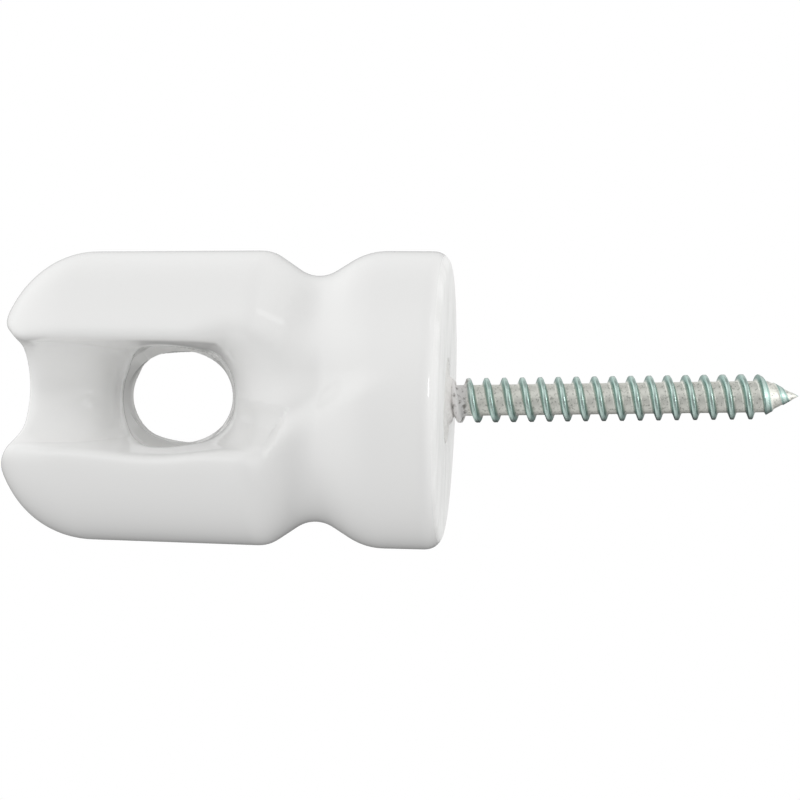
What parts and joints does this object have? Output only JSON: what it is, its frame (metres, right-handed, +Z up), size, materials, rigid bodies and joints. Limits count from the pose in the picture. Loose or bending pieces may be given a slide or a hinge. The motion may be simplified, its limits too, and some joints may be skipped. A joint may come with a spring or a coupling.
{
  "type": "porcelain insulator",
  "caption": "Round glazed porcelain wireholder with a waist, a slotted head with a cross hole for wire, and a wood lag screw grouted into its base.",
  "frame": {"origin": "centre of the flat seating face of the porcelain, where the screw comes out", "axes": "+X out along the body's axis towards the screw's point, the head points along -X; +Z up, across the wire channels; the wire hole runs along Y"},
  "size_m": [0.1122, 0.0424, 0.0424],
  "materials": {
    "porcelain": "white gloss glaze",
    "screw": "clear zinc plate",
    "cement": "pale grout"
  },
  "bodies": {
    "root": {"porcelain_body": "porcelain", "mounting_screw": "screw", "cement_fill": "cement"}
  },
  "joints": []
}
